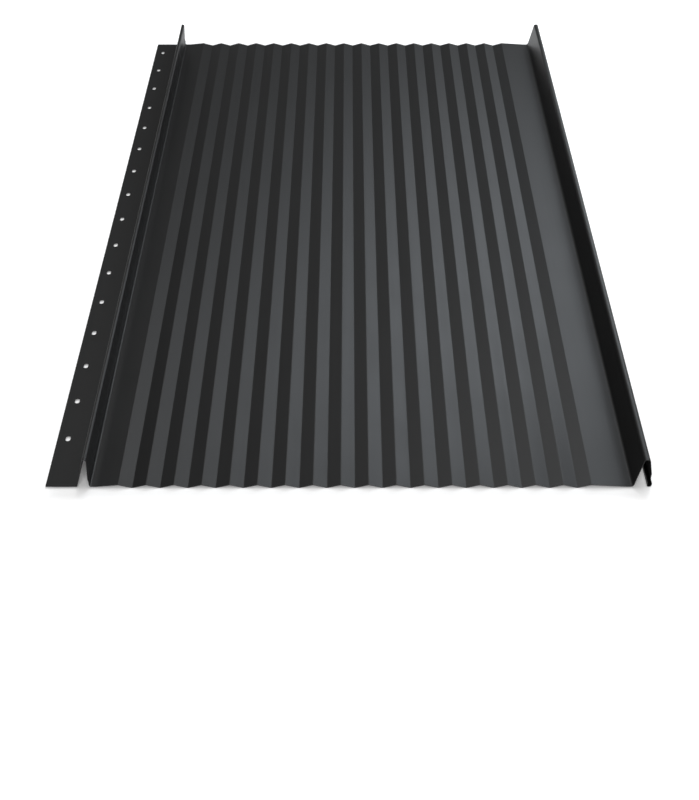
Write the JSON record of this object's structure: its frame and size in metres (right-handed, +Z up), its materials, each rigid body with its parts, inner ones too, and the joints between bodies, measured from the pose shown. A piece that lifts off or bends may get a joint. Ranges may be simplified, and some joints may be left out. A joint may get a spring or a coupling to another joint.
{
  "type": "corrugated standing-seam roofing sheet",
  "caption": "Flat-lying sheet of dark coated steel with a finely corrugated pan, a slotted screw flange beside one raised seam, and a hooked clip-on seam along the other edge.",
  "frame": {"origin": "middle of the sheet's outer box, on the floor that its wave bottoms lie on", "axes": "+Y along the sheet and its waves, +Z up through the sheet's top face, +X across it towards the hooked upper seam"},
  "size_m": [0.5444, 1, 0.0319],
  "materials": {
    "coated_steel": "satin"
  },
  "bodies": {
    "root": {"corrugated_sheet": "coated_steel"}
  },
  "joints": []
}
